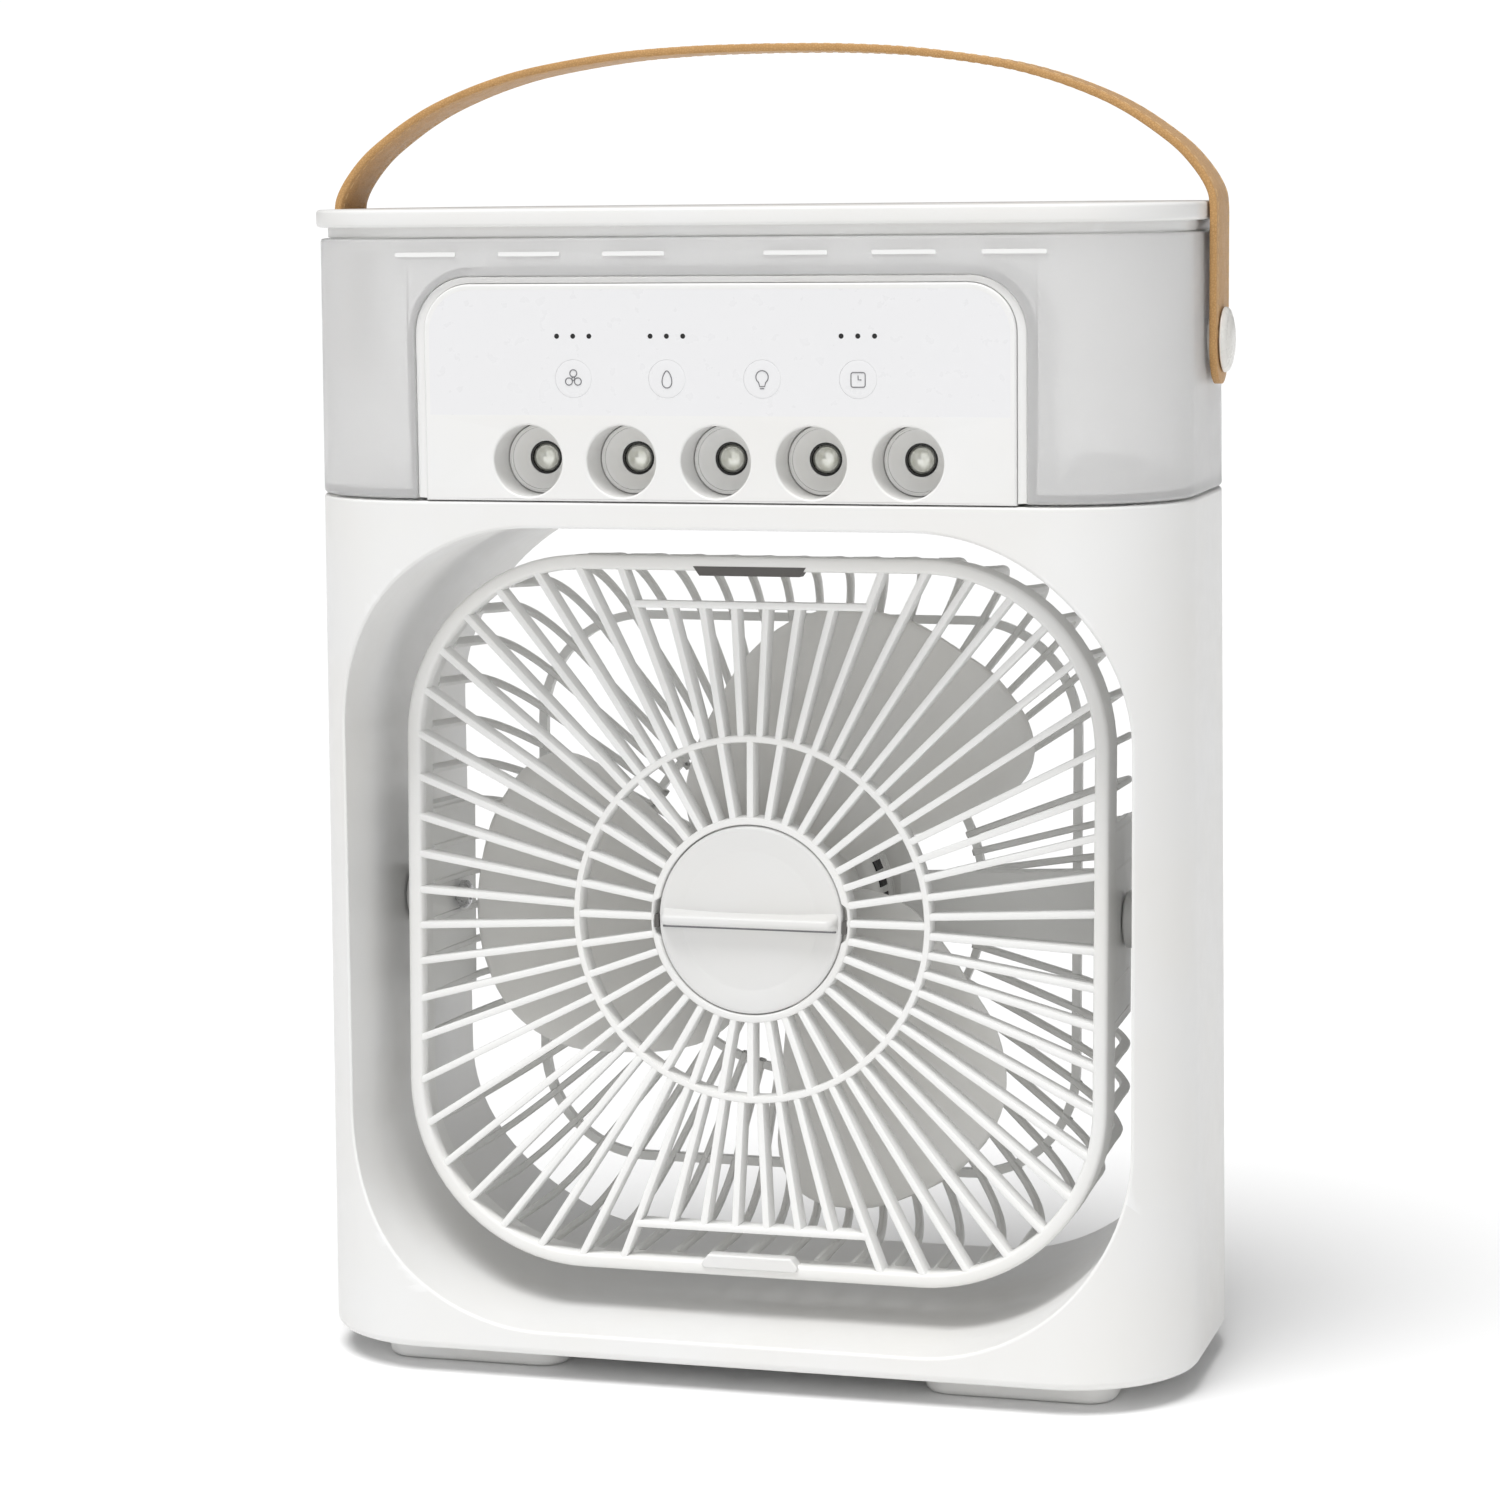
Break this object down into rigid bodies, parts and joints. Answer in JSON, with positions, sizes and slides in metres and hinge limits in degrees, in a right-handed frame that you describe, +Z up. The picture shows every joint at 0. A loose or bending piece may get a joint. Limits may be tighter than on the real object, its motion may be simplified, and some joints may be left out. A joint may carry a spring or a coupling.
{
  "type": "desk box fan with mist tank",
  "caption": "Upright desk fan in a rounded box body: tilting guarded fan head in an open tunnel, clear water tank above, control console with mist nozzles, lid and strap handle.",
  "frame": {"origin": "middle of the footprint, on the surface the feet stand on", "axes": "+Z up, the fan blows towards -Y, +X to the right as seen from behind the viewer facing the front"},
  "size_m": [0.2276, 0.1058, 0.3233],
  "materials": {
    "shell": "fine satin moulded ABS",
    "console": "fine satin moulded ABS",
    "overlay": "semi-gloss film",
    "button": "semi-gloss film",
    "pcb": "printed board",
    "inner_plastic": "plain moulded",
    "tank": "frosted translucent",
    "grey_plastic": "satin moulded",
    "lid": "fine satin moulded ABS",
    "leather": "smooth tan synthetic leather, stitched edges",
    "rivet": "off-white semi-gloss",
    "grille": "fine satin moulded ABS",
    "hub_cap": "fine satin moulded ABS",
    "cage": "fine satin moulded ABS",
    "motor": "black painted can",
    "steel": "plated steel",
    "blade": "satin warm light grey",
    "pivot": "satin moulded",
    "foot_pad": "soft white pad",
    "nozzle": "satin moulded",
    "mister": "black ring around a glassy disc"
  },
  "bodies": {
    "base": {"body_shell": "shell", "base_plate": "shell", "foot_front_left": "foot_pad", "foot_front_right": "foot_pad", "foot_rear_left": "foot_pad", "foot_rear_right": "foot_pad", "top_deck": "shell", "console": "console", "panel_overlay": "overlay", "control_pcb": "pcb", "mist_manifold": "inner_plastic", "water_tank": "tank", "tank_valve": "grey_plastic", "lid": "lid", "rivet_left": "rivet", "rivet_right": "rivet", "pivot_nut_left": "pivot", "pivot_nut_right": "pivot", "power_inlet": "steel", "nozzle_1": "nozzle", "mister_1": "mister", "nozzle_2": "nozzle", "mister_2": "mister", "nozzle_3": "nozzle", "mister_3": "mister", "nozzle_4": "nozzle", "mister_4": "mister", "nozzle_5": "nozzle", "mister_5": "mister"},
    "head": {"rear_cage": "cage", "motor_can": "motor", "cable_cover": "grey_plastic", "pivot_left": "pivot", "pivot_right": "pivot", "pivot_screw_left": "steel", "pivot_screw_right": "steel"},
    "rotor": {"fan_rotor": "blade", "motor_shaft": "steel", "spin_nut": "grey_plastic"},
    "grille": {"front_grille": "grille"},
    "cap": {"hub_cap": "hub_cap"},
    "latch": {"grille_latch": "grille"},
    "flap": {"fill_flap": "lid"},
    "handle": {"handle_strap": "leather"},
    "button_fan_body": {"button_fan": "button"},
    "button_mist_body": {"button_mist": "button"},
    "button_light_body": {"button_light": "button"},
    "button_timer_body": {"button_timer": "button"}
  },
  "joints": [
    {"name": "head_tilt", "type": "hinge", "parent": "base", "child": "head", "pos_m": [0, 0, 0.1108], "axis": [-1, 0, 0], "range_deg": [-40, 48]},
    {"name": "fan_spin", "type": "hinge", "parent": "head", "child": "rotor", "pos_m": [0, 0, 0.1108], "axis": [0, -0.9994, 0.0349], "continuous": true},
    {"name": "grille_open", "type": "hinge", "parent": "head", "child": "grille", "pos_m": [0, -0.01989, 0.20015], "axis": [-1, 0, 0], "range_deg": [0, 35]},
    {"name": "cap_twist", "type": "hinge", "parent": "grille", "child": "cap", "pos_m": [0, -0.02698, 0.11174], "axis": [0, -0.9994, 0.0349], "range_deg": [0, 45]},
    {"name": "latch_press", "type": "slide", "parent": "grille", "child": "latch", "axis": [0, 0.0349, 0.9994], "range_m": [0, 0.0012], "stiffness_N_per_m": 300},
    {"name": "flap_open", "type": "hinge", "parent": "base", "child": "flap", "pos_m": [0, -0.018, 0.2845], "axis": [-1, 0, 0], "range_deg": [0, 88]},
    {"name": "handle_swing", "type": "hinge", "parent": "base", "child": "handle", "pos_m": [0, 0, 0.2517], "axis": [1, 0, 0], "range_deg": [-10, 10]},
    {"name": "button_fan_press", "type": "slide", "parent": "base", "child": "button_fan_body", "axis": [0, 1, 0], "range_m": [0, 0.0008], "stiffness_N_per_m": 300},
    {"name": "button_mist_press", "type": "slide", "parent": "base", "child": "button_mist_body", "axis": [0, 1, 0], "range_m": [0, 0.0008], "stiffness_N_per_m": 300},
    {"name": "button_light_press", "type": "slide", "parent": "base", "child": "button_light_body", "axis": [0, 1, 0], "range_m": [0, 0.0008], "stiffness_N_per_m": 300},
    {"name": "button_timer_press", "type": "slide", "parent": "base", "child": "button_timer_body", "axis": [0, 1, 0], "range_m": [0, 0.0008], "stiffness_N_per_m": 300}
  ]
}
